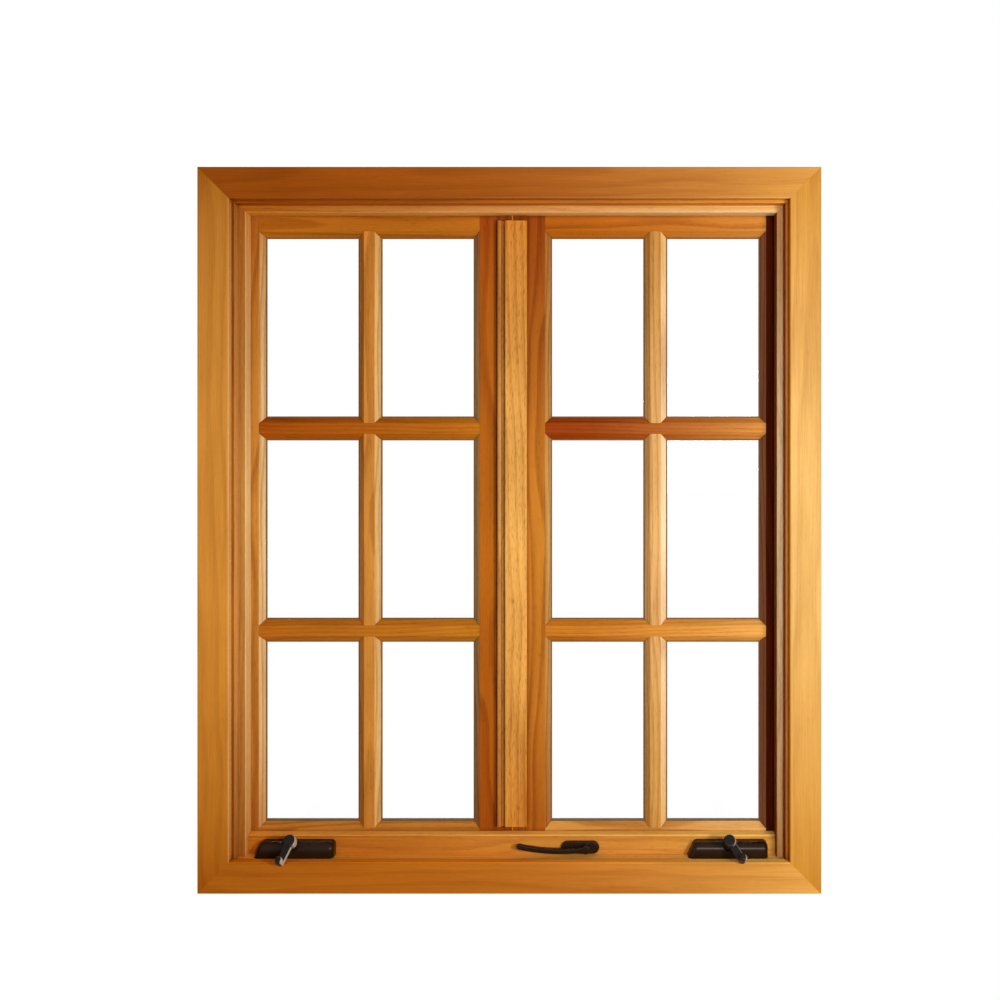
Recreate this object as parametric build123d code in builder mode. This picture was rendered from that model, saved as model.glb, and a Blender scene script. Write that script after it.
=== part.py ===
from build123d import *
from math import cos, radians, sin
import os

# Twin casement window: timber towards the room, aluminium towards the weather. Millimetres.
# The origin is the middle of the frame's underside, where the window stands on the wall opening.
# +X is right seen from the room, +Y runs out through the wall, +Z is up.

# Box frame: rebated jambs, head and sill
frame_width = 1050
frame_height = 1240
frame_depth = 104
jamb_thickness = 40
pocket = 21

# Casing: flat boards, mitred, backed out so that only two strips bear
casing_width = 55
casing_thickness = 18
casing_reveal = 5
sill_cover = 5
casing_edge = 2.5
inner_strip = 7
outer_strip = 9
back_relief = 2

# Stops planted on the frame, which the sashes close against
stop_width = 12
stop_depth = 33
stop_round = 2
sill_stop_depth = 18
sill_stop_height = 35.5
sill_stop_fall = 2
sill_nosing = 5
sill_nosing_round = 4
sill_quirk = 1.5
sill_quirk_depth = 2

# Sashes
sash_gap = 3
meeting_gap = 4
outer_stile_width = 54
meeting_stile_width = 67
rail_height = 68
sash_thickness = 34
bevel_width = 10
bevel_depth = 11
bevel_step = 3
glazing_rebate = 13

# Glazing bars, planted on the inner pane, and their partners on the outer pane
bar_width = 39
bar_columns = 2
bar_rows = 3
outer_bar_width = 34
outer_bar_depth = 10
outer_bar_flat = 22

# Insulating glass
pane_thickness = 4
glass_edge_gap = 2
spacer_setback = 2

# Aluminium cladding
clad_wall = 2.5
clad_setback = 6
sash_clad_depth = 12
frame_clad_depth = 16
sill_nose_reach = 30
sill_nose_fall = 5
sill_nose_lift = 2

# Astragal over the meeting line
astragal_width = 54
astragal_thickness = 13
astragal_bead = 8.4
astragal_quirk = 5.4
astragal_quirk_depth = 7
astragal_edge = 3
astragal_relief = 1
astragal_end_gap = 11

# Crank operators
operator_setback = 99
cover_length = 142
cover_height = 27
cover_depth = 25
cover_round = 13
cover_end_round = 8
cover_rake = 12
spindle_tilt = 35
spindle_radius = 4
spindle_reach = 10
boss_radius = 9
boss_length = 33
hub_radius = 11
hub_length = 15
hub_proud = 3.5
hub_edge = 3
arm_length = 38
arm_root_width = 15
arm_tip_width = 11
arm_thickness = 7
arm_edge = 1.5
knob_radius = 6.5
knob_neck_radius = 4
knob_neck = 2
knob_length = 14
knob_edge = 4
left_crank_angle = 17
right_crank_angle = 33

# Sash lock
lock_x = 123
lock_plate_length = 68
lock_plate_height = 22
lock_plate_thickness = 7
lock_plate_edge = 2
lock_foot_gap = 2
lever_offset = 10
lever_length = 118
lever_rise = 5
lever_sag = 3
lever_sag_reach = 45
lever_width = 9
lever_thickness = 8
lever_edge = 2
lever_hub_radius = 8
lever_hub_length = 12
lever_pin_radius = 3
lever_pin_reach = 5

# Running clearance between a turning piece and its seat
turn_gap = 0.3

# Levels that follow from the sizes above
reveal_depth = frame_depth - sash_thickness - sash_clad_depth
room_edge = -frame_depth / 2
sash_face = room_edge + reveal_depth
stop_front = sash_face - stop_depth
sill_face = sash_face - sill_stop_depth
weather_edge = frame_depth / 2
liner_half_x = frame_width / 2 - jamb_thickness
ledge = jamb_thickness
soffit = frame_height - jamb_thickness
glass_setback = bevel_depth + bevel_step
glass_face = sash_face + glass_setback
sash_back = sash_face + sash_thickness
frame_edge = jamb_thickness - pocket
operator_x = liner_half_x - operator_setback

sash_left = meeting_gap / 2
sash_right = frame_width / 2 - frame_edge - sash_gap
sash_bottom = frame_edge + sash_gap
sash_top = frame_height - frame_edge - sash_gap
day_left = sash_left + meeting_stile_width
day_right = sash_right - outer_stile_width
day_bottom = sash_bottom + rail_height
day_top = sash_top - rail_height
day_middle = Vector((day_left + day_right) / 2, 0, (day_bottom + day_top) / 2)
day_half_x = (day_right - day_left) / 2
day_half_z = (day_top - day_bottom) / 2

sides = {
    "top": Vector(0, 0, 1),
    "right": Vector(1, 0, 0),
    "bottom": Vector(0, 0, -1),
    "left": Vector(-1, 0, 0),
}

os.makedirs("parts", exist_ok=True)


def save(piece, name):
    piece.label = name
    export_step(piece, f"parts/{name}.step")


def section_plane(away, middle, half_x, half_z, y):
    """Plane across one side of an opening: its x runs away from the opening, its y towards the room."""
    reach = half_x * abs(away.X) + half_z * abs(away.Z)
    origin = Vector(middle.X, y, middle.Z) + away * reach
    return Plane(origin=origin, x_dir=away, z_dir=Vector(0, 1, 0).cross(away))


def mirrored(piece):
    with BuildPart() as twin:
        mirror(piece, about=Plane.YZ)
    return twin.part


# Casing
casing_half_x = liner_half_x + casing_reveal
casing_bottom = ledge + sill_cover
casing_top = soffit + casing_reveal
casing_middle = Vector(0, 0, (casing_bottom + casing_top) / 2)
casing_half_z = (casing_top - casing_bottom) / 2

for side, away in sides.items():
    across = section_plane(away, casing_middle, casing_half_x, casing_half_z, room_edge)
    half_run = casing_half_x * abs(away.Z) + casing_half_z * abs(away.X)
    with BuildPart() as casing:
        with BuildSketch(across):
            with BuildLine():
                Polyline(
                    (0, 0),
                    (inner_strip, 0),
                    (inner_strip, back_relief),
                    (casing_width - outer_strip, back_relief),
                    (casing_width - outer_strip, 0),
                    (casing_width, 0),
                    (casing_width, casing_thickness),
                    (0, casing_thickness),
                    close=True,
                )
            make_face()
            fillet(vertices().group_by(Axis.Y)[-1], radius=casing_edge)
        extrude(amount=half_run + casing_width, both=True)
        for end in (-1, 1):
            corner = across.origin + across.z_dir * end * half_run
            mitre = Plane(origin=corner, z_dir=across.z_dir * end - away)
            split(bisect_by=mitre, keep=Keep.BOTTOM)
    save(casing.part, f"casing_{side}")

# Box frame: the head and sill run the full width, the jambs stand between them
frame_middle = Vector(0, 0, (ledge + soffit) / 2)
frame_half_z = (soffit - ledge) / 2
frame_section = [
    (0, 0),
    (jamb_thickness, 0),
    (jamb_thickness, -frame_depth),
    (pocket, -frame_depth),
    (pocket, -reveal_depth),
    (0, -reveal_depth),
]

with BuildPart() as head:
    with BuildSketch(section_plane(sides["top"], frame_middle, liner_half_x, frame_half_z, room_edge)):
        Polygon(*frame_section, align=None)
    extrude(amount=frame_width / 2, both=True)
save(head.part, "head")

with BuildPart() as sill:
    with BuildSketch(section_plane(sides["bottom"], frame_middle, liner_half_x, frame_half_z, room_edge)):
        Polygon(*frame_section, align=None)
    extrude(amount=frame_width / 2, both=True)
save(sill.part, "sill")

with BuildPart() as right_jamb:
    with BuildSketch(section_plane(sides["right"], frame_middle, liner_half_x, frame_half_z, room_edge)):
        Polygon(*frame_section, align=None)
    extrude(amount=frame_height / 2, both=True)
    add(head.part, mode=Mode.SUBTRACT)
    add(sill.part, mode=Mode.SUBTRACT)
save(right_jamb.part, "right_jamb")
save(mirrored(right_jamb.part), "left_jamb")

# Stops: the head stop is mitred to the side stops. The sill stop fits between those, and a quirk
# parts its nosing from its face
stop_section = [(0, 0), (0, -stop_depth), (-stop_width, -stop_depth), (-stop_width, 0)]
mitre_right = Plane(origin=(liner_half_x, 0, soffit), z_dir=(1, 0, -1))
mitre_left = Plane(origin=(-liner_half_x, 0, soffit), z_dir=(-1, 0, -1))

with BuildPart() as head_stop:
    with BuildSketch(section_plane(sides["top"], frame_middle, liner_half_x, frame_half_z, stop_front)):
        Polygon(*stop_section, align=None)
        fillet(vertices().group_by(Axis.Y)[-1].sort_by(Axis.X)[0], radius=stop_round)
    extrude(amount=liner_half_x, both=True)
    split(bisect_by=mitre_right, keep=Keep.BOTTOM)
    split(bisect_by=mitre_left, keep=Keep.BOTTOM)
save(head_stop.part, "head_stop")

with BuildPart() as right_stop:
    with BuildSketch(section_plane(sides["right"], frame_middle, liner_half_x, frame_half_z, stop_front)):
        Polygon(*stop_section, align=None)
        fillet(vertices().group_by(Axis.Y)[-1].sort_by(Axis.X)[0], radius=stop_round)
    extrude(amount=frame_half_z, both=True)
    split(bisect_by=mitre_right, keep=Keep.TOP)
save(right_stop.part, "right_stop")
save(mirrored(right_stop.part), "left_stop")

nosing_top = ledge + sill_stop_height - sill_stop_fall
nosing_foot = nosing_top - sill_nosing
with BuildPart() as sill_stop:
    with BuildSketch(Plane.YZ):
        with BuildLine():
            Polyline(
                (sill_face, ledge),
                (sash_face, ledge),
                (sash_face, ledge + sill_stop_height),
                (sill_face, nosing_top),
                (sill_face, nosing_foot),
                (sill_face + sill_quirk_depth, nosing_foot),
                (sill_face + sill_quirk_depth, nosing_foot - sill_quirk),
                (sill_face, nosing_foot - sill_quirk),
                close=True,
            )
        make_face()
        fillet(vertices().group_by(Axis.X)[0].sort_by(Axis.Y)[-1], radius=sill_nosing_round)
    extrude(amount=liner_half_x - stop_width, both=True)
save(sill_stop.part, "sill_stop")

# Frame cladding: hollow channels on the weather edge, and a falling nose on the sill
clad_channel = [
    (0, 0),
    (0, -frame_clad_depth),
    (frame_edge, -frame_clad_depth),
    (frame_edge, 0),
    (frame_edge - clad_wall, 0),
    (frame_edge - clad_wall, clad_wall - frame_clad_depth),
    (clad_wall, clad_wall - frame_clad_depth),
    (clad_wall, 0),
]
pocket_half_x = frame_width / 2 - frame_edge
pocket_half_z = frame_height / 2 - frame_edge

with BuildPart() as head_cladding:
    with BuildSketch(section_plane(sides["top"], frame_middle, pocket_half_x, pocket_half_z, weather_edge)):
        Polygon(*clad_channel, align=None)
    extrude(amount=frame_width / 2, both=True)
save(head_cladding.part, "head_cladding")

with BuildPart() as right_jamb_cladding:
    with BuildSketch(section_plane(sides["right"], frame_middle, pocket_half_x, pocket_half_z, weather_edge)):
        Polygon(*clad_channel, align=None)
    extrude(amount=pocket_half_z, both=True)
save(right_jamb_cladding.part, "right_jamb_cladding")
save(mirrored(right_jamb_cladding.part), "left_jamb_cladding")

nose_front = weather_edge + sill_nose_reach
nose_top = frame_edge - sill_nose_fall
with BuildPart() as sill_cladding:
    with BuildSketch(Plane.YZ):
        with BuildLine():
            Polyline(
                (weather_edge, sill_nose_lift),
                (weather_edge, frame_edge),
                (nose_front, nose_top),
                (nose_front, sill_nose_lift),
                (nose_front - clad_wall, sill_nose_lift),
                (nose_front - clad_wall, nose_top - clad_wall),
                (weather_edge + clad_wall, frame_edge - clad_wall),
                (weather_edge + clad_wall, sill_nose_lift),
                close=True,
            )
        make_face()
    extrude(amount=frame_width / 2, both=True)
save(sill_cladding.part, "sill_cladding")


def save_pair(piece, name):
    """Write a piece of the right sash and its mirror image on the left sash."""
    save(piece, f"right_sash_{name}")
    save(mirrored(piece), f"left_sash_{name}")


def sash_section(width):
    """Stile or rail: bevelled towards the glass, and rebated behind for the glass unit."""
    return [
        (0, -bevel_depth),
        (bevel_width, 0),
        (width, 0),
        (width, -sash_thickness),
        (glazing_rebate, -sash_thickness),
        (glazing_rebate, -glass_setback),
        (0, -glass_setback),
    ]


# Sash stiles run the full height, and the rails are coped between them
sash_half_height = (sash_top - sash_bottom) / 2

with BuildPart() as outer_stile:
    with BuildSketch(section_plane(sides["right"], day_middle, day_half_x, day_half_z, sash_face)):
        Polygon(*sash_section(outer_stile_width), align=None)
    extrude(amount=sash_half_height, both=True)
save_pair(outer_stile.part, "outer_stile")

with BuildPart() as meeting_stile:
    with BuildSketch(section_plane(sides["left"], day_middle, day_half_x, day_half_z, sash_face)):
        Polygon(*sash_section(meeting_stile_width), align=None)
    extrude(amount=sash_half_height, both=True)
save_pair(meeting_stile.part, "meeting_stile")

with BuildPart() as top_rail:
    with BuildSketch(section_plane(sides["top"], day_middle, day_half_x, day_half_z, sash_face)):
        Polygon(*sash_section(rail_height), align=None)
    extrude(amount=day_half_x + glazing_rebate, both=True)
    add(outer_stile.part, mode=Mode.SUBTRACT)
    add(meeting_stile.part, mode=Mode.SUBTRACT)
save_pair(top_rail.part, "top_rail")

with BuildPart() as bottom_rail:
    with BuildSketch(section_plane(sides["bottom"], day_middle, day_half_x, day_half_z, sash_face)):
        Polygon(*sash_section(rail_height), align=None)
    extrude(amount=day_half_x + glazing_rebate, both=True)
    add(outer_stile.part, mode=Mode.SUBTRACT)
    add(meeting_stile.part, mode=Mode.SUBTRACT)
save_pair(bottom_rail.part, "bottom_rail")

# Glazing bars: bevelled like the sash. The level bars run from stile to stile, and the upright
# lengths are coped between them and the rails
bar_section = [
    (-bar_width / 2, -glass_setback),
    (-bar_width / 2, -bevel_depth),
    (bevel_width - bar_width / 2, 0),
    (bar_width / 2 - bevel_width, 0),
    (bar_width / 2, -bevel_depth),
    (bar_width / 2, -glass_setback),
]
lite_width = (2 * day_half_x - (bar_columns - 1) * bar_width) / bar_columns
lite_height = (2 * day_half_z - (bar_rows - 1) * bar_width) / bar_rows
bar_xs = [day_left + n * (lite_width + bar_width) - bar_width / 2 for n in range(1, bar_columns)]
bar_zs = [day_bottom + n * (lite_height + bar_width) - bar_width / 2 for n in range(1, bar_rows)]

with BuildPart() as horizontal_bars:
    for z in bar_zs:
        level = Plane(origin=(day_middle.X, sash_face, z), x_dir=(0, 0, 1), z_dir=(1, 0, 0))
        with BuildSketch(level):
            Polygon(*bar_section, align=None)
        extrude(amount=day_half_x + bevel_width, both=True)
    add(outer_stile.part, mode=Mode.SUBTRACT)
    add(meeting_stile.part, mode=Mode.SUBTRACT)
save_pair(horizontal_bars.part, "horizontal_bars")

with BuildPart() as vertical_bar:
    for x in bar_xs:
        upright = Plane(origin=(x, sash_face, day_middle.Z), x_dir=(1, 0, 0), z_dir=(0, 0, -1))
        with BuildSketch(upright):
            Polygon(*bar_section, align=None)
        extrude(amount=day_half_z + bevel_width, both=True)
    add(top_rail.part, mode=Mode.SUBTRACT)
    add(bottom_rail.part, mode=Mode.SUBTRACT)
    add(horizontal_bars.part, mode=Mode.SUBTRACT)
save_pair(vertical_bar.part, "vertical_bar")

# Insulating glass: two panes and the spacer bent round between their edges
glass_width = 2 * (day_half_x + glazing_rebate - glass_edge_gap)
glass_height = 2 * (day_half_z + glazing_rebate - glass_edge_gap)
sash_plane = Plane(origin=day_middle, x_dir=(1, 0, 0), z_dir=(0, 1, 0))

with BuildPart() as glass:
    with BuildSketch(sash_plane.offset(glass_face), sash_plane.offset(sash_back - pane_thickness)):
        Rectangle(glass_width, glass_height)
    extrude(amount=pane_thickness)
save_pair(glass.part, "glass")

with BuildPart() as spacer:
    with BuildSketch(sash_plane.offset(glass_face + pane_thickness)):
        Rectangle(glass_width, glass_height)
        Rectangle(2 * (day_half_x + spacer_setback), 2 * (day_half_z + spacer_setback), mode=Mode.SUBTRACT)
    extrude(amount=sash_back - glass_face - 2 * pane_thickness)
save_pair(spacer.part, "glass_spacer")


def sash_channel(width):
    """Hollow cladding behind a stile or rail, with one leg on the glass and one on the wood."""
    return [
        (clad_setback, 0),
        (clad_setback, -sash_clad_depth),
        (width, -sash_clad_depth),
        (width, 0),
        (width - clad_wall, 0),
        (width - clad_wall, clad_wall - sash_clad_depth),
        (clad_setback + clad_wall, clad_wall - sash_clad_depth),
        (clad_setback + clad_wall, 0),
    ]


# Sash cladding: full-height stile channels with the rail channels between them
stile_widths = {"right": outer_stile_width, "left": meeting_stile_width}
with BuildPart() as stile_cladding:
    for side, width in stile_widths.items():
        with BuildSketch(section_plane(sides[side], day_middle, day_half_x, day_half_z, sash_back)):
            Polygon(*sash_channel(width), align=None)
        extrude(amount=sash_half_height, both=True)
save_pair(stile_cladding.part, "stile_cladding")

with BuildPart() as rail_cladding:
    for side in ("top", "bottom"):
        with BuildSketch(section_plane(sides[side], day_middle, day_half_x, day_half_z, sash_back)):
            Polygon(*sash_channel(rail_height), align=None)
        extrude(amount=day_half_x + clad_setback, both=True)
save_pair(rail_cladding.part, "rail_cladding")

# Outer glazing bars: one flat grid on the outer pane, in line with the inner bars
outer_bar_section = [
    (-outer_bar_width / 2, 0),
    (-outer_bar_flat / 2, -outer_bar_depth),
    (outer_bar_flat / 2, -outer_bar_depth),
    (outer_bar_width / 2, 0),
]
with BuildPart() as outer_bars:
    for x in bar_xs:
        upright = Plane(origin=(x, sash_back, day_middle.Z), x_dir=(1, 0, 0), z_dir=(0, 0, -1))
        with BuildSketch(upright):
            Polygon(*outer_bar_section, align=None)
        extrude(amount=day_half_z + clad_setback, both=True)
    for z in bar_zs:
        level = Plane(origin=(day_middle.X, sash_back, z), x_dir=(0, 0, 1), z_dir=(1, 0, 0))
        with BuildSketch(level):
            Polygon(*outer_bar_section, align=None)
        extrude(amount=day_half_x + clad_setback, both=True)
save_pair(outer_bars.part, "outer_bars")

# Astragal: fixed to the right meeting stile, lapping the left one with a weather gap
astragal_bottom = ledge + sill_stop_height + astragal_end_gap
astragal_top = soffit - stop_width - astragal_end_gap
bead_edge = astragal_bead - astragal_width / 2
flat_edge = bead_edge + astragal_quirk
bead_spring = astragal_thickness - astragal_bead / 2
with BuildPart() as astragal:
    with BuildSketch(Plane(origin=(0, sash_face, astragal_top), x_dir=(1, 0, 0), z_dir=(0, 0, -1))):
        with BuildLine():
            Polyline(
                (-astragal_width / 2, bead_spring),
                (-astragal_width / 2, astragal_relief),
                (meeting_gap / 2, astragal_relief),
                (meeting_gap / 2, 0),
                (astragal_width / 2, 0),
                (astragal_width / 2, astragal_thickness),
                (flat_edge, astragal_thickness),
                (flat_edge, astragal_thickness - astragal_quirk_depth),
                (bead_edge, astragal_thickness - astragal_quirk_depth),
                (bead_edge, bead_spring),
            )
            ThreePointArc(
                (bead_edge, bead_spring),
                (bead_edge - astragal_bead / 2, astragal_thickness),
                (-astragal_width / 2, bead_spring),
            )
        make_face()
        fillet(vertices().group_by(Axis.Y)[-1], radius=astragal_edge)
    extrude(amount=astragal_top - astragal_bottom)
save(astragal.part, "astragal")

# Crank operators: the same cover twice against the sill stop, with a tilted boss for the spindle
tilt = radians(spindle_tilt)
spindle_dir = Vector(0, -cos(tilt), sin(tilt))
boss_root = Vector(0, sill_face - cover_depth + cover_round, ledge + cover_height - cover_round)
boss_end = boss_root + spindle_dir * boss_length


def operator_cover(x):
    """Moulded cover, rounded along its top and raked at its left end, with the boss in the middle."""
    foot = x - cover_length / 2
    boss_plane = Plane(origin=boss_end + Vector(x, 0, 0), x_dir=(1, 0, 0), z_dir=spindle_dir)
    with BuildPart() as cover:
        with BuildSketch(Plane.YZ.offset(foot)):
            with Locations((sill_face - cover_depth / 2, ledge + cover_height / 2)):
                Rectangle(cover_depth, cover_height)
            fillet(vertices().group_by(Axis.X)[0].sort_by(Axis.Y)[-1], radius=cover_round)
        extrude(amount=cover_length)
        split(bisect_by=Plane(origin=(foot, 0, ledge), z_dir=(-cover_height, 0, cover_rake)), keep=Keep.BOTTOM)
        front = edges().group_by(Axis.Y)[0]
        fillet(front.filter_by(Axis.X, reverse=True), radius=cover_end_round)
        with BuildSketch(boss_plane):
            Circle(boss_radius)
        extrude(amount=-boss_length)
        with Locations(boss_plane):
            Hole(radius=spindle_radius + turn_gap, depth=spindle_reach + turn_gap)
    return cover.part


save(operator_cover(operator_x), "right_operator_cover")
save(operator_cover(-operator_x), "left_operator_cover")


def crank_handle(x, angle):
    """Spindle, hub, tapering arm and knob; the arm hangs at an angle to the right of straight down."""
    seat = boss_end + Vector(x, 0, 0) + spindle_dir * turn_gap
    seat_plane = Plane(origin=seat, x_dir=(1, 0, 0), z_dir=spindle_dir)
    arm_dir = seat_plane.x_dir * sin(radians(angle)) - seat_plane.y_dir * cos(radians(angle))
    arm_seat = seat + spindle_dir * (hub_length - hub_proud - arm_thickness)
    arm_plane = Plane(origin=arm_seat, x_dir=arm_dir, z_dir=spindle_dir)
    knob_foot = arm_seat + arm_dir * arm_length + spindle_dir * arm_thickness
    with BuildPart() as crank:
        with BuildSketch(arm_plane):
            Circle(arm_root_width / 2)
            with Locations((arm_length, 0)):
                Circle(arm_tip_width / 2)
            make_hull()
        extrude(amount=arm_thickness)
        fillet(faces().sort_by(Axis(seat, spindle_dir))[-1].edges(), radius=arm_edge)
        with BuildSketch(Plane(origin=seat, x_dir=seat_plane.x_dir, z_dir=-seat_plane.y_dir)):
            with BuildLine():
                Polyline(
                    (0, -spindle_reach),
                    (spindle_radius, -spindle_reach),
                    (spindle_radius, 0),
                    (hub_radius, 0),
                    (hub_radius, hub_length),
                    (0, hub_length),
                    close=True,
                )
            make_face()
            fillet(vertices().group_by(Axis.Y)[-1].sort_by(Axis.X)[-1], radius=hub_edge)
        revolve(axis=Axis(seat, spindle_dir))
        with BuildSketch(Plane(origin=knob_foot, x_dir=arm_dir, z_dir=-arm_plane.y_dir)):
            with BuildLine():
                Polyline(
                    (0, 0),
                    (knob_neck_radius, 0),
                    (knob_neck_radius, knob_neck),
                    (knob_radius, knob_neck),
                    (knob_radius, knob_neck + knob_length),
                    (0, knob_neck + knob_length),
                    close=True,
                )
            make_face()
            fillet(vertices().group_by(Axis.Y)[-1].sort_by(Axis.X)[-1], radius=knob_edge)
        revolve(axis=Axis(knob_foot, spindle_dir))
    return crank.part


save(crank_handle(operator_x, right_crank_angle), "right_crank")
save(crank_handle(-operator_x, -left_crank_angle), "left_crank")

# Sash lock: a rounded plate on the sill stop, and the lever that turns on it
lock_z = ledge + lock_foot_gap + lock_plate_height / 2
lock_plane = Plane(origin=(lock_x, sill_face, lock_z), x_dir=(1, 0, 0), z_dir=(0, -1, 0))
pivot_plane = Plane(origin=(lock_x + lever_offset, sill_face, lock_z), x_dir=(1, 0, 0), z_dir=(0, -1, 0))
with BuildPart() as lock_plate:
    with BuildSketch(lock_plane):
        SlotOverall(lock_plate_length, lock_plate_height)
    extrude(amount=lock_plate_thickness)
    fillet(faces().sort_by(Axis.Y)[0].edges(), radius=lock_plate_edge)
    with Locations(pivot_plane.offset(lock_plate_thickness)):
        Hole(radius=lever_pin_radius + turn_gap, depth=lever_pin_reach + turn_gap)
save(lock_plate.part, "lock_plate")

lever_seat = pivot_plane.offset(lock_plate_thickness + turn_gap)
lever_tip = (-lever_length, lever_rise)
with BuildPart() as lock_lever:
    with BuildSketch(lever_seat.offset(lever_hub_length - lever_thickness)):
        with BuildLine():
            ThreePointArc((0, 0), (-lever_sag_reach, -lever_sag), lever_tip)
        trace(line_width=lever_width)
        with Locations(lever_tip):
            Circle(lever_width / 2)
        Circle(lever_hub_radius)
    extrude(amount=lever_thickness)
    with BuildSketch(lever_seat):
        Circle(lever_hub_radius)
    extrude(amount=lever_hub_length - lever_thickness)
    with BuildSketch(lever_seat):
        Circle(lever_pin_radius)
    extrude(amount=-lever_pin_reach)
    fillet(faces().sort_by(Axis.Y)[0].edges(), radius=lever_edge)
save(lock_lever.part, "lock_lever")
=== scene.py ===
import math

import bmesh
import bpy
from mathutils import Matrix, Vector


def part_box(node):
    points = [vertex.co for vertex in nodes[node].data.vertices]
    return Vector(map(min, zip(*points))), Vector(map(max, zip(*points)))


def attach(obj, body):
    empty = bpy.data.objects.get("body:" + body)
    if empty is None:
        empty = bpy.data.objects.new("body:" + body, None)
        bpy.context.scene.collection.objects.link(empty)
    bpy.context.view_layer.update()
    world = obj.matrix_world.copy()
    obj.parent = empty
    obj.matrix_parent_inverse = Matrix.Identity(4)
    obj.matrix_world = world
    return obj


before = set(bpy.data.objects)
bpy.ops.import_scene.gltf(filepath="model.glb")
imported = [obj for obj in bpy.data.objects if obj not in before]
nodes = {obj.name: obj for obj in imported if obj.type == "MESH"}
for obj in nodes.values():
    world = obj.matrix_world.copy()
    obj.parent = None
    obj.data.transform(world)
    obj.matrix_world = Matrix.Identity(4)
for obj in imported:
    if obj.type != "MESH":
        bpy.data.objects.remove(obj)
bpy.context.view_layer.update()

# Box frame: two jambs between a head and a sill, rebated from pine planks and stained honey brown.
# Each plank is sawn from its own log, so the growth rings are laid out afresh for every piece,
# and a satin lacquer closes the grain.


class Shade:
    """A socket of a material's node tree. Sums on it become Math nodes of that tree."""

    def __init__(self, tree, socket):
        self.tree = tree
        self.socket = socket

    def node(self, kind, settings=None, inputs=None, out=0):
        made = self.tree.nodes.new(kind)
        for key, value in (settings or {}).items():
            if key == "stops":
                while len(made.color_ramp.elements) < len(value):
                    made.color_ramp.elements.new(1)
                for stop, (place, level) in zip(made.color_ramp.elements, value):
                    stop.position = place
                    stop.color = (level, level, level, 1)
            else:
                setattr(made, key, value)
        for key, value in (inputs or {}).items():
            if isinstance(value, Shade):
                self.tree.links.new(value.socket, made.inputs[key])
            else:
                made.inputs[key].default_value = value
        return Shade(self.tree, made.outputs[out])

    def beside(self, out):
        return Shade(self.tree, self.socket.node.outputs[out])

    def sum(self, operation, first, second=0.0):
        return self.node("ShaderNodeMath", {"operation": operation}, {0: first, 1: second})

    def __add__(self, other):
        return self.sum("ADD", self, other)

    def __radd__(self, other):
        return self.sum("ADD", other, self)

    def __sub__(self, other):
        return self.sum("SUBTRACT", self, other)

    def __rsub__(self, other):
        return self.sum("SUBTRACT", other, self)

    def __mul__(self, other):
        return self.sum("MULTIPLY", self, other)

    def __rmul__(self, other):
        return self.sum("MULTIPLY", other, self)

    def __truediv__(self, other):
        return self.sum("DIVIDE", self, other)

    def __pow__(self, other):
        return self.sum("POWER", self, other)

    def mixed(self, first, second):
        """Two colours mixed by this value."""
        return self.node("ShaderNodeMix", {"data_type": "RGBA"}, {0: self, 6: first, 7: second}, out=2)

    def times(self, other):
        """This colour multiplied by another."""
        settings = {"data_type": "RGBA", "blend_type": "MULTIPLY"}
        return self.node("ShaderNodeMix", settings, {0: 1.0, 6: self, 7: other}, out=2)

    def ranged(self, start, stop):
        """0 where this value is at start, 1 where it is at stop, and held there beyond."""
        reach = {"Value": self, "From Min": start, "From Max": stop}
        return self.node("ShaderNodeMapRange", None, reach)

    def clamped(self):
        return self.node("ShaderNodeClamp", None, {"Value": self})

    def vector(self, x, y, z):
        return self.node("ShaderNodeCombineXYZ", None, {0: x, 1: y, 2: z})

    def noise(self, vector, detail=2.0, roughness=0.5, scale=1.0):
        inputs = {"Vector": vector, "Scale": scale, "Detail": detail, "Roughness": roughness}
        return self.node("ShaderNodeTexNoise", None, inputs)

    def feed(self, node, name):
        self.tree.links.new(self.socket, node.inputs[name])

    def bump(self, shader, strength, distance):
        """Let this height raise the surface of a shader."""
        inputs = {"Strength": strength, "Distance": distance, "Height": self}
        self.node("ShaderNodeBump", None, inputs).feed(shader, "Normal")


def new_finish(name):
    """A material, its Principled shader and the place on the piece that its pattern reads."""
    finish = bpy.data.materials.new(name)
    finish.use_nodes = True
    tree = finish.node_tree
    place = Shade(tree, tree.nodes.new("ShaderNodeTexCoord").outputs["Object"])
    return finish, tree.nodes["Principled BSDF"], place


def colour(red, green, blue):
    return (red, green, blue, 1.0)


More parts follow.
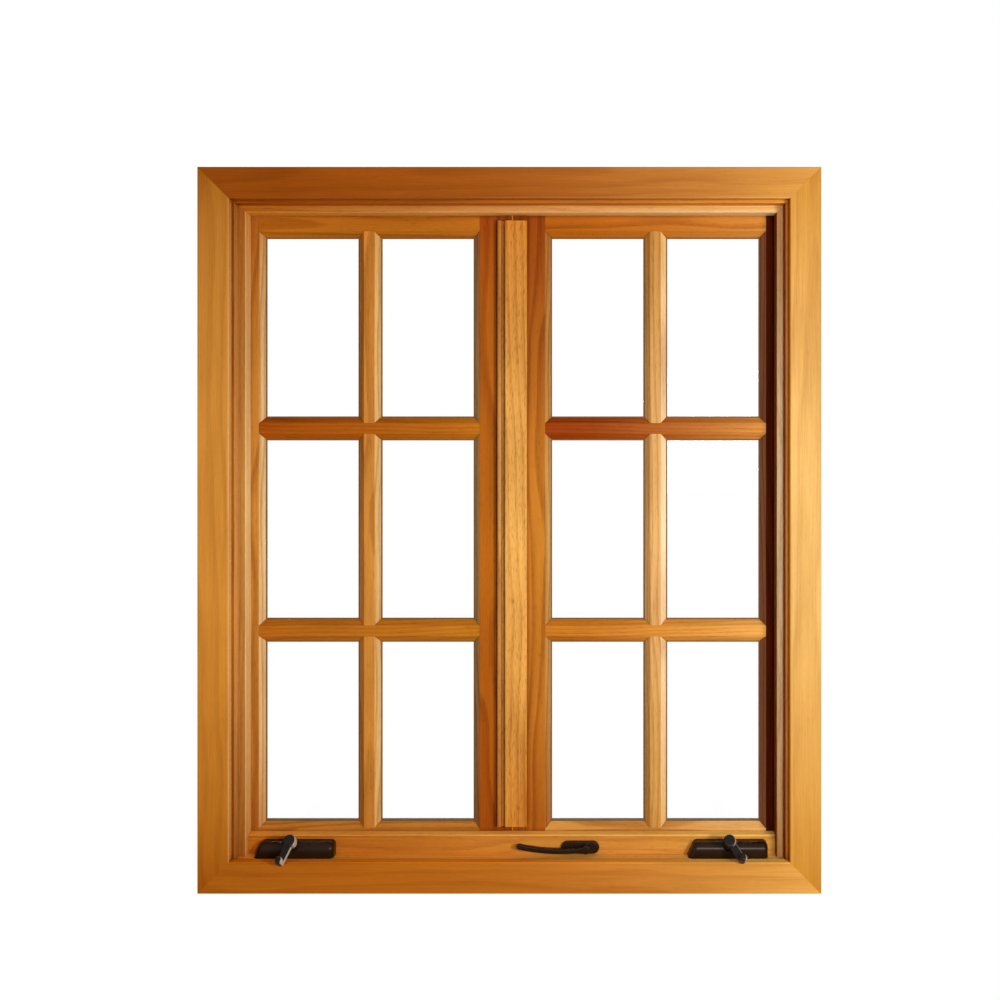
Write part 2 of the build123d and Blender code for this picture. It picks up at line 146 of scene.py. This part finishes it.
def timber(name, along, tint, seed, far_tint=None, upper=None, painted_side_shading=None, far_painted_side_shading=None, bend=2.0,
           painted_end_shade=None, fade=1.5, lit_side=False, wall=None, painted_strip_shade=None, ring=0.009, figure=0.5, fleck=0.25,
           blotch=0.5, painted_corner_shade=0.85, sheen=0.04):
    """Stained pine cut along X or Z: growth rings round a wandering pith, fibres, pores and stain.

    The colour drifts from tint to far_tint towards the board's far end: partly the board's own tone,
    partly painted light falling off across it. Both ends are darkened as much as painted_end_shade
    says, painted shade of light falling off along the board. The side faces are painted with light and
    shade, from painted_side_shading to far_painted_side_shading: lighter where they face the lamps,
    darker where they sit in shade, and only on the faces that turn right where lit_side is set.
    Corners and recesses get painted shade from ambient occlusion, as much as painted_corner_shade says.
    The side that wall names, an axis and its sign, is left raw. A strip as wide as
    painted_strip_shade[0] on the left is darkened by painted_strip_shade[1], painted shade in a quirk.
    A node of two bars takes the pair of tints in upper for its upper one.
    """
    raw_pine = (0.72, 0.47, 0.21)
    early_shade = (1.16, 1.16, 1.16)
    late_shade = (0.62, 0.5, 0.36)
    corner_shade = (0.3, 0.2, 0.14)
    corner_reach = 0.012
    low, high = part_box(name)
    middle = (low + high) / 2
    finish, shader, place = new_finish(name)
    x = place.node("ShaderNodeSeparateXYZ", None, {"Vector": place})
    height = x.beside("Z")
    depth = x.beside("Y") - middle.y
    if along == "Z":
        run, across, span = height, x - middle.x, (low.z, high.z)
    else:
        run, across, span = x, height - middle.z, (low.x, high.x)
    drift = 7.3 * seed
    sway = place.noise(place.vector(run * 1.7 + drift, across * 3, depth * 3 + drift), 2)
    swell = place.noise(place.vector(run * 2.6 - drift, across * 5, depth * 5), 1)
    pith_across = 0.05 * math.sin(2.4 * seed)
    pith_depth = 0.05 + 0.03 * math.cos(1.7 * seed)
    off_across = across - pith_across + (sway - 0.5) * 0.05
    off_depth = depth - pith_depth + (swell - 0.5) * 0.03
    radius = (off_across * off_across + off_depth * off_depth) ** 0.5
    turns = (radius + run * 0.01) / ring
    latewood = place.node(
        "ShaderNodeValToRGB",
        {"stops": [(0.0, 0.1), (0.45, 0.25), (0.8, 1.0), (0.92, 0.8), (1.0, 0.1)]},
        {0: place.sum("FRACT", turns)},
    )
    fibre = place.noise(place.vector(run * 9 + drift, across * 420, depth * 420), 4, 0.6)
    pores = place.noise(place.vector(run * 70, across * 650 + drift, depth * 650), 1)
    pore = pores.ranged(0.56, 0.7)
    stain = place.noise(place.vector(run * 4 + drift, across * 16, depth * 16), 3)
    streaks = (latewood - 0.4) * figure + (fibre - 0.5) * 0.7
    dark = streaks + (stain - 0.5) * blotch * 2 + pore * fleck + 0.4

    # Tint drift along the board: partly its own tone, partly painted light falling off across it.
    along_board = run.ranged(*span)
    far = along_board ** bend
    board = far.mixed(colour(*tint), colour(*(far_tint or tint)))
    if upper:
        upper_board = far.mixed(colour(*upper[0]), colour(*upper[1]))
        board = place.sum("GREATER_THAN", height, middle.z).mixed(board, upper_board)
    # Painted shade on a strip along the left side.
    if painted_strip_shade:
        board = place.sum("LESS_THAN", x, low.x + painted_strip_shade[0]).mixed(board, board.times(colour(*painted_strip_shade[1])))
    # Painted light and shade on the side faces: lighter where they face the lamps, darker where they
    # sit in shade.
    if painted_side_shading:
        facing = place.node("ShaderNodeSeparateXYZ", None, {"Vector": place.beside("Normal")})
        painted_side_mask = place.sum("ABSOLUTE", facing.beside("Y")).ranged(0.86, 0.72)
        if lit_side:
            painted_side_mask = painted_side_mask * place.sum("GREATER_THAN", facing, 0.0)
        board = painted_side_mask.mixed(board, far.mixed(colour(*painted_side_shading), colour(*(far_painted_side_shading or painted_side_shading))))
        if wall:
            hidden = (facing.beside(wall[0]) * wall[1]).ranged(0.85, 0.95)
            board = hidden.mixed(board, colour(*raw_pine))
    # Painted shade: both ends of the board are darkened, as light falls off along it.
    if painted_end_shade:
        outward = place.sum("ABSOLUTE", along_board * 2 - 1) ** fade
        board = board.times(outward.mixed(colour(1, 1, 1), colour(*painted_end_shade)))
    # Painted shade in corners and recesses, from ambient occlusion.
    distance = {"Distance": corner_reach}
    open_room = place.node("ShaderNodeAmbientOcclusion", {"samples": 6}, distance, out="AO")
    painted_corner_mask = open_room.ranged(0.80, 0.42) * painted_corner_shade
    grained = board.times(dark.clamped().mixed(colour(*early_shade), colour(*late_shade)))
    painted_corner_mask.mixed(grained, grained.times(colour(*corner_shade))).feed(shader, "Base Color")

    (0.42 + (fibre - 0.5) * 0.16 + stain * 0.1).feed(shader, "Roughness")
    (fibre * 0.6 + latewood * 0.4 - pore * 0.4).bump(shader, 0.16, 0.0004)
    shader.inputs["Specular IOR Level"].default_value = sheen
    return finish


def dress(name, finish, arris=0.0):
    """Give a CAD piece its finish, and ease its sharp edges where it has any."""
    piece = nodes[name]
    piece.data.materials.clear()
    piece.data.materials.append(finish)
    if arris:
        weld = piece.modifiers.new("weld", "WELD")
        weld.merge_threshold = 1e-5
        ease = piece.modifiers.new("arris", "BEVEL")
        ease.width = arris
        ease.segments = 2
        ease.limit_method = "ANGLE"
        ease.angle_limit = math.radians(25)
        ease.harden_normals = True


# Painted light and shade on the frame's side faces: the left jamb's inner face is painted lighter and
# the right jamb's darker, the sill's upper faces lighter; the head is far darker towards its left end.
frame_boards = {
    "left_jamb": dict(
        along="Z", tint=(0.46, 0.16, 0.011), seed=1, painted_side_shading=(0.84, 0.40, 0.106),
        painted_end_shade=(0.55, 0.40, 0.22), wall=("X", -1), painted_corner_shade=0.6,
    ),
    "right_jamb": dict(
        along="Z", tint=(0.84, 0.34, 0.055), seed=2, painted_side_shading=(0.32, 0.037, 0.002),
        painted_end_shade=(0.72, 0.6, 0.5), wall=("X", 1), painted_corner_shade=0.6,
    ),
    "head": dict(
        along="X", tint=(0.34, 0.08, 0.003), seed=3, far_tint=(0.90, 0.38, 0.06), bend=2.4,
        painted_side_shading=(0.46, 0.104, 0.003), far_painted_side_shading=(0.90, 0.385, 0.041), wall=("Z", 1), painted_corner_shade=0.6,
    ),
    "sill": dict(
        along="X", tint=(0.60, 0.20, 0.02), seed=4, painted_side_shading=(1.0, 0.42, 0.045),
        far_painted_side_shading=(1.0, 0.60, 0.16), wall=("Z", -1), painted_corner_shade=0.1,
    ),
}
for name, cut in frame_boards.items():
    dress(name, timber(name, figure=0.35, **cut), arris=0.0007)

# Frame cladding: extruded aluminium channels clipped to the weather edge of the box frame, with a
# falling nose on the sill. Dark bronze powder coat, with the fine orange peel that powder leaves.


def powder_coat(name, tint, rough):
    finish, shader, place = new_finish(name)
    peel = place.noise(place, detail=2.0, scale=900.0)
    dust = place.noise(place, detail=5.0, scale=9.0)
    lighter = colour(*[part * 1.3 for part in tint])
    dust.ranged(0.3, 0.7).mixed(colour(*tint), lighter).feed(shader, "Base Color")
    (rough + (dust - 0.5) * 0.2).feed(shader, "Roughness")
    peel.bump(shader, 0.12, 0.0003)
    return finish


bronze_powder = powder_coat("bronze_powder", (0.042, 0.031, 0.024), rough=0.42)
for name in ("head_cladding", "left_jamb_cladding", "right_jamb_cladding", "sill_cladding"):
    dress(name, bronze_powder, arris=0.0006)

# Stops: slim mouldings planted round the frame, mitred at the head, which the sashes close against.
# The right stop's face is painted very pale, painted light on a face that the right casing shades; the
# stops' side faces carry painted light on the left and painted shade on the right.
stops = {
    "head_stop": dict(
        along="X", tint=(0.48, 0.155, 0.016), seed=5, far_tint=(0.80, 0.48, 0.18), bend=1.6,
        painted_side_shading=(0.85, 0.38, 0.05), far_painted_side_shading=(1.0, 0.80, 0.42),
    ),
    "left_stop": dict(
        along="Z", tint=(0.52, 0.247, 0.05), seed=6, painted_side_shading=(1.0, 0.68, 0.29), painted_end_shade=(0.72, 0.5, 0.3),
    ),
    "right_stop": dict(
        along="Z", tint=(1.0, 0.74, 0.42), seed=7, painted_side_shading=(0.34, 0.10, 0.015), painted_end_shade=(0.72, 0.5, 0.3),
    ),
    "sill_stop": dict(
        along="X", tint=(0.485, 0.147, 0.0095), seed=8, far_tint=(0.71, 0.352, 0.068), bend=1.4,
        painted_side_shading=(0.97, 0.40, 0.055), far_painted_side_shading=(1.0, 0.60, 0.14),
    ),
}
for name, cut in stops.items():
    dress(name, timber(name, ring=0.006, figure=0.3, blotch=0.3, painted_corner_shade=0.25, **cut), arris=0.0006)

# Sashes: stiles full height with the rails coped between them, bevelled towards the glass. Each
# board took the stain in its own way: the left meeting stile is redder heartwood. The right sash's
# outer stile is painted nearly black, with no sheen: painted shade of the shadow that the right stop
# and casing cast on it. The bevels carry painted light and shade.
sash_boards = {
    "left_sash_outer_stile": dict(
        along="Z", tint=(0.565, 0.245, 0.0385), seed=11, painted_side_shading=(0.78, 0.52, 0.25),
        painted_end_shade=(0.62, 0.42, 0.22), painted_corner_shade=0.3,
    ),
    "left_sash_meeting_stile": dict(
        along="Z", tint=(0.46, 0.13, 0.006), seed=12, painted_side_shading=(0.50, 0.30, 0.115),
        painted_end_shade=(0.70, 0.48, 0.5),
    ),
    "left_sash_top_rail": dict(along="X", tint=(0.45, 0.145, 0.0095), seed=13),
    "left_sash_bottom_rail": dict(along="X", tint=(0.53, 0.20, 0.028), seed=14),
    "right_sash_outer_stile": dict(
        along="Z", tint=(0.080, 0.0115, 0.003), seed=15, painted_side_shading=(0.25, 0.097, 0.047), sheen=0.0,
    ),
    "right_sash_meeting_stile": dict(
        along="Z", tint=(0.60, 0.235, 0.024), seed=16, far_tint=(0.43, 0.12, 0.005), bend=2.2,
        painted_side_shading=(0.55, 0.31, 0.097), painted_end_shade=(0.62, 0.40, 0.24), fade=1.1,
    ),
    "right_sash_top_rail": dict(
        along="X", tint=(0.42, 0.115, 0.005), seed=17, far_tint=(0.58, 0.235, 0.038),
    ),
    "right_sash_bottom_rail": dict(
        along="X", tint=(0.70, 0.32, 0.065), seed=18, far_tint=(0.88, 0.50, 0.165),
    ),
}
for name, cut in sash_boards.items():
    dress(name, timber(name, figure=0.6, **cut), arris=0.0008)

# Meeting seal: a soft brown bulb pressed between the two meeting stiles, full height, which closes
# the gap that the sashes need to swing.


def finished(shape, name, finish, body):
    """Turn a bmesh into a piece that rides on a body."""
    bmesh.ops.recalc_face_normals(shape, faces=shape.faces[:])
    mesh = bpy.data.meshes.new(name)
    shape.to_mesh(mesh)
    shape.free()
    mesh.materials.append(finish)
    piece = bpy.data.objects.new(name, mesh)
    bpy.context.scene.collection.objects.link(piece)
    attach(piece, body)


def rubber(name, tint, rough):
    finish, shader, place = new_finish(name)
    bloom = place.noise(place, detail=4.0, scale=60.0)
    bloom.mixed(colour(*tint), colour(*[part * 1.7 for part in tint])).feed(shader, "Base Color")
    (rough + (bloom - 0.5) * 0.3).feed(shader, "Roughness")
    bloom.bump(shader, 0.1, 0.0002)
    shader.inputs["Specular IOR Level"].default_value = 0.1
    return finish


bulb_radius = 0.00215
bulb_set_back = 0.0035
bulb_end_gap = 0.001
stile_low, stile_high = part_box("right_sash_meeting_stile")
bulb_length = stile_high.z - stile_low.z - 2 * bulb_end_gap
bulb = bmesh.new()
foot_ring = bmesh.ops.create_circle(bulb, cap_ends=True, segments=20, radius=bulb_radius)["verts"]
foot_place = (0, stile_low.y + bulb_set_back, stile_low.z + bulb_end_gap)
bmesh.ops.translate(bulb, vec=foot_place, verts=foot_ring)
grown = bmesh.ops.extrude_face_region(bulb, geom=bulb.faces[:])["geom"]
top_ring = [part for part in grown if isinstance(part, bmesh.types.BMVert)]
bmesh.ops.translate(bulb, vec=(0, 0, bulb_length), verts=top_ring)
seal_finish = rubber("meeting_seal", (0.40, 0.12, 0.008), rough=0.6)
finished(bulb, "meeting_seal", seal_finish, "frame")

# Glazing bars: bevelled lengths of the same pine, planted on the inner pane. The level bars run from
# stile to stile, and the upright lengths are coped between them and the rails.
# The upright bars' right-facing bevels are painted paler, painted light from the right.
upright_bars = {
    "left_sash_vertical_bar": dict(
        tint=(0.60, 0.245, 0.04), seed=21, painted_side_shading=(0.71, 0.435, 0.17), painted_end_shade=(0.97, 0.92, 0.80),
    ),
    "right_sash_vertical_bar": dict(
        tint=(0.72, 0.40, 0.14), seed=23, painted_side_shading=(0.97, 0.70, 0.44), painted_end_shade=(0.74, 0.65, 0.38),
    ),
}
for name, cut in upright_bars.items():
    dress(name, timber(name, "Z", lit_side=True, ring=0.007, **cut), arris=0.0007)

level_bars = {
    "left_sash_horizontal_bars": dict(
        tint=(0.48, 0.155, 0.011), seed=22, far_tint=(0.54, 0.20, 0.0125), bend=2.5,
        upper=((0.38, 0.09, 0.004), (0.54, 0.18, 0.010)),
    ),
    "right_sash_horizontal_bars": dict(
        tint=(0.56, 0.195, 0.016), seed=24, far_tint=(0.78, 0.38, 0.083),
        upper=((0.32, 0.05, 0.001), (0.66, 0.27, 0.052)),
    ),
}
for name, cut in level_bars.items():
    dress(name, timber(name, "X", ring=0.007, figure=0.35, blotch=0.6, **cut), arris=0.0007)

# Insulating glass: two clear panes with a dark warm-edge spacer between their rims. A fine line of
# brown glazing sealant, run in along the timber, closes every lite.


def loop(shape, low_x, high_x, low_z, high_z, front, width, thickness):
    """A flat rectangular loop facing the room, given its thickness towards the weather."""
    quad = bmesh.ops.create_grid(shape, x_segments=1, y_segments=1, size=0.5)["verts"]
    span = Vector((high_x - low_x, high_z - low_z, 1))
    upright = Matrix.Rotation(math.radians(90), 3, "X")
    bmesh.ops.scale(shape, vec=span, verts=quad)
    bmesh.ops.rotate(shape, cent=(0, 0, 0), matrix=upright, verts=quad)
    middle = Vector(((low_x + high_x) / 2, front, (low_z + high_z) / 2))
    bmesh.ops.translate(shape, vec=middle, verts=quad)
    pane = quad[0].link_faces[0]
    rim = bmesh.ops.inset_region(
        shape, faces=[pane], thickness=width, use_boundary=True, use_even_offset=True
    )["faces"]
    bmesh.ops.delete(shape, geom=[pane], context="FACES")
    bmesh.ops.solidify(shape, geom=rim, thickness=thickness)


clear = bpy.data.materials.new("clear_glass")
clear.use_nodes = True
pane_shader = clear.node_tree.nodes["Principled BSDF"]
pane_shader.inputs["Base Color"].default_value = colour(1, 1, 1)
pane_shader.inputs["Roughness"].default_value = 0.0
pane_shader.inputs["Transmission Weight"].default_value = 1.0
pane_shader.inputs["IOR"].default_value = 1.12
spacer_finish = rubber("warm_edge", (0.03, 0.026, 0.023), rough=0.5)
sealant_finish = rubber("glazing_sealant", (0.15, 0.07, 0.026), rough=0.6)

bar_width = 0.039
bevel = 0.010
bead = 0.0024
bead_rise = 0.0015
for side in ("left", "right"):
    dress(f"{side}_sash_glass", clear)
    dress(f"{side}_sash_glass_spacer", spacer_finish)
    upright_low, upright_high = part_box(f"{side}_sash_vertical_bar")
    level_low, level_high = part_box(f"{side}_sash_horizontal_bars")
    bead_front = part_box(f"{side}_sash_glass")[0].y - bead_rise
    day_low = Vector((level_low.x + bevel, 0, upright_low.z + bevel))
    day_high = Vector((level_high.x - bevel, 0, upright_high.z - bevel))
    lite_x = (day_high.x - day_low.x - bar_width) / 2
    lite_z = (day_high.z - day_low.z - 2 * bar_width) / 3
    sealant = bmesh.new()
    for column in range(2):
        for row in range(3):
            left = day_low.x + column * (lite_x + bar_width)
            foot = day_low.z + row * (lite_z + bar_width)
            right, top = left + lite_x, foot + lite_z
            loop(sealant, left, right, foot, top, bead_front, bead, bead_rise)
    finished(sealant, f"{side}_sash_sealant", sealant_finish, "frame")

# Sash cladding: bronze aluminium channels behind the stiles and rails, and the flat outer bars
# that stand on the outer pane in line with the timber ones.
for side in ("left", "right"):
    for part in ("stile_cladding", "rail_cladding", "outer_bars"):
        dress(f"{side}_sash_{part}", bronze_powder, arris=0.0006)

# Astragal: a moulded strip fixed to the right meeting stile, lapping the left one. A bead and a
# quirk run down its left edge. Straight-grained pale pine with dark flecks; the strip over the bead and
# quirk is painted darker, painted shade in the quirk, and the ends are painted darker.
shaded_strip_width = 0.0085
astragal_pine = timber(
    "astragal", along="Z", tint=(0.76, 0.385, 0.089), seed=31, painted_end_shade=(0.80, 0.60, 0.35),
    painted_strip_shade=(shaded_strip_width, (0.72, 0.69, 0.82)), ring=0.011, figure=0.4, fleck=0.6, blotch=0.8,
)
dress("astragal", astragal_pine, arris=0.0006)

# Casing: four flat boards mitred at the corners and nailed over the joint between frame and wall.
# The mitres are eased, so each shows as a fine line.
# Painted light and shade on the casing's inner edges: the left and bottom boards' edges are painted
# lighter, the right board's darker, and the side boards are painted darker towards their ends.
casing_boards = {
    "casing_left": dict(
        along="Z", tint=(0.607, 0.206, 0.0088), seed=41, far_tint=(0.738, 0.325, 0.056), bend=0.5,
        painted_side_shading=(0.80, 0.42, 0.14), painted_end_shade=(0.61, 0.45, 0.20), fade=3.0,
    ),
    "casing_right": dict(
        along="Z", tint=(0.70, 0.40, 0.10), seed=42, far_tint=(0.78, 0.475, 0.155), bend=0.5,
        painted_side_shading=(0.72, 0.30, 0.018), painted_end_shade=(0.77, 0.56, 0.22),
    ),
    "casing_top": dict(
        along="X", tint=(0.35, 0.081, 0.004), seed=43, far_tint=(0.70, 0.335, 0.07),
        painted_side_shading=(0.42, 0.11, 0.008), far_painted_side_shading=(0.85, 0.45, 0.10), bend=3.5,
    ),
    "casing_bottom": dict(
        along="X", tint=(0.455, 0.129, 0.007), seed=44, far_tint=(0.74, 0.375, 0.08),
        painted_side_shading=(0.77, 0.21, 0.007), far_painted_side_shading=(1.0, 0.66, 0.14), bend=3.6,
    ),
}
for name, cut in casing_boards.items():
    dress(name, timber(name, ring=0.013, figure=0.22, fleck=0.12, blotch=0.35, **cut), arris=0.0009)

# Operators and lock: die-cast covers, plate and lever in dark bronze enamel, baked on, with a gloss
# that varies. The crank handles are blacker, with a painted highlight along the flanks that face right.


def enamel(name, tint, painted_glint=None):
    """Baked enamel; where a glint colour is given, the flanks that face right get it as a painted
    highlight.
    """
    finish, shader, place = new_finish(name)
    cloud = place.noise(place, detail=4.0, scale=45.0)
    cast = place.noise(place, detail=2.0, scale=700.0)
    coat = cloud.mixed(colour(*tint), colour(*[part * 1.8 for part in tint]))
    # Painted highlight: the flanks that face right take the glint colour.
    if painted_glint:
        facing = place.node("ShaderNodeSeparateXYZ", None, {"Vector": place.beside("Normal")})
        glint_mask = facing.ranged(0.35, 0.7)
        coat = glint_mask.mixed(coat, colour(*painted_glint))
    coat.feed(shader, "Base Color")
    (0.2 + cloud * 0.18).feed(shader, "Roughness")
    cast.bump(shader, 0.08, 0.0003)
    shader.inputs["Specular IOR Level"].default_value = 0.11
    return finish


bronze_enamel = enamel("bronze_enamel", (0.014, 0.0055, 0.0018))
for name in ("left_operator_cover", "right_operator_cover", "lock_plate", "lock_lever"):
    dress(name, bronze_enamel)
crank_enamel = enamel("crank_enamel", (0.008, 0.006, 0.005), painted_glint=(0.50, 0.37, 0.28))
for name in ("left_crank", "right_crank"):
    dress(name, crank_enamel)

# Studio: a pale round floor as far below the sill as a room's floor would be, fading to the white
# surround; a soft key from the right, a fill from the front and a dim even surround.
floor_radius = 4.0
floor_drop = 0.9
fade_start = 1.1
fade_stop = 1.6


def seen_directly(rays):
    """1 for a ray that shows the surround itself: from the camera, mirrored or through glass."""
    mirrored = rays.sum("MAXIMUM", rays, rays.beside("Is Glossy Ray"))
    return rays.sum("MAXIMUM", mirrored, rays.beside("Is Transmission Ray"))


floor_shape = bmesh.new()
bmesh.ops.create_circle(floor_shape, cap_ends=True, segments=96, radius=floor_radius)
bmesh.ops.translate(floor_shape, vec=(0, 0, -floor_drop), verts=floor_shape.verts[:])
floor_mesh = bpy.data.meshes.new("floor")
floor_shape.to_mesh(floor_mesh)
floor_shape.free()
floor = bpy.data.objects.new("floor", floor_mesh)
bpy.context.scene.collection.objects.link(floor)

floor_finish, floor_shader, floor_place = new_finish("floor")
floor_shader.inputs["Base Color"].default_value = colour(0.82, 0.82, 0.82)
floor_shader.inputs["Roughness"].default_value = 0.8
floor_seen = seen_directly(floor_place.node("ShaderNodeLightPath"))
reach = floor_place.node("ShaderNodeVectorMath", {"operation": "LENGTH"}, {0: floor_place}, out="Value")
whiter = floor_seen * reach.ranged(fade_start, fade_stop)
white = floor_place.node("ShaderNodeEmission", None, {"Color": colour(1, 1, 1), "Strength": 1.0})
surface = Shade(floor_finish.node_tree, floor_shader.outputs[0])
faded = surface.node("ShaderNodeMixShader", None, {0: whiter, 1: surface, 2: white})
faded.feed(floor_finish.node_tree.nodes["Material Output"], "Surface")
floor_mesh.materials.append(floor_finish)

scene = bpy.context.scene
scene.view_settings.view_transform = "Standard"
world = bpy.data.worlds.new("studio")
scene.world = world
world.use_nodes = True
surround = world.node_tree.nodes["Background"]
light_path = world.node_tree.nodes.new("ShaderNodeLightPath")
world_seen = seen_directly(Shade(world.node_tree, light_path.outputs["Is Camera Ray"]))
world_seen.mixed(colour(0.11, 0.11, 0.115), colour(1, 1, 1)).feed(surround, "Color")


def lamp(name, place, aim, size, power, tint):
    light = bpy.data.lights.new(name, "AREA")
    light.size = size
    light.energy = power
    light.color = tint
    holder = bpy.data.objects.new(name, light)
    holder.location = place
    holder.rotation_euler = (Vector(aim) - Vector(place)).to_track_quat("-Z", "Y").to_euler()
    scene.collection.objects.link(holder)


lamp(
    "key", place=(1.42, -2.1, 0.72), aim=(0.1, 0, 0.62), size=0.35, power=36, tint=(1.0, 0.98, 0.95)
)
lamp(
    "fill", place=(0.58, -2.6, 0.8), aim=(0.2, 0, 0.62), size=0.5, power=33, tint=(1.0, 0.99, 0.97)
)

camera_data = bpy.data.cameras.new("camera")
camera_data.sensor_width = 36
camera_data.lens = 43.31
camera_data.shift_x = -0.10
camera_data.shift_y = -0.0693
camera = bpy.data.objects.new("camera", camera_data)
camera.location = (0.1585, -2.170, 0.799)
camera.rotation_euler = (math.radians(90), 0, 0)
scene.collection.objects.link(camera)
scene.camera = camera
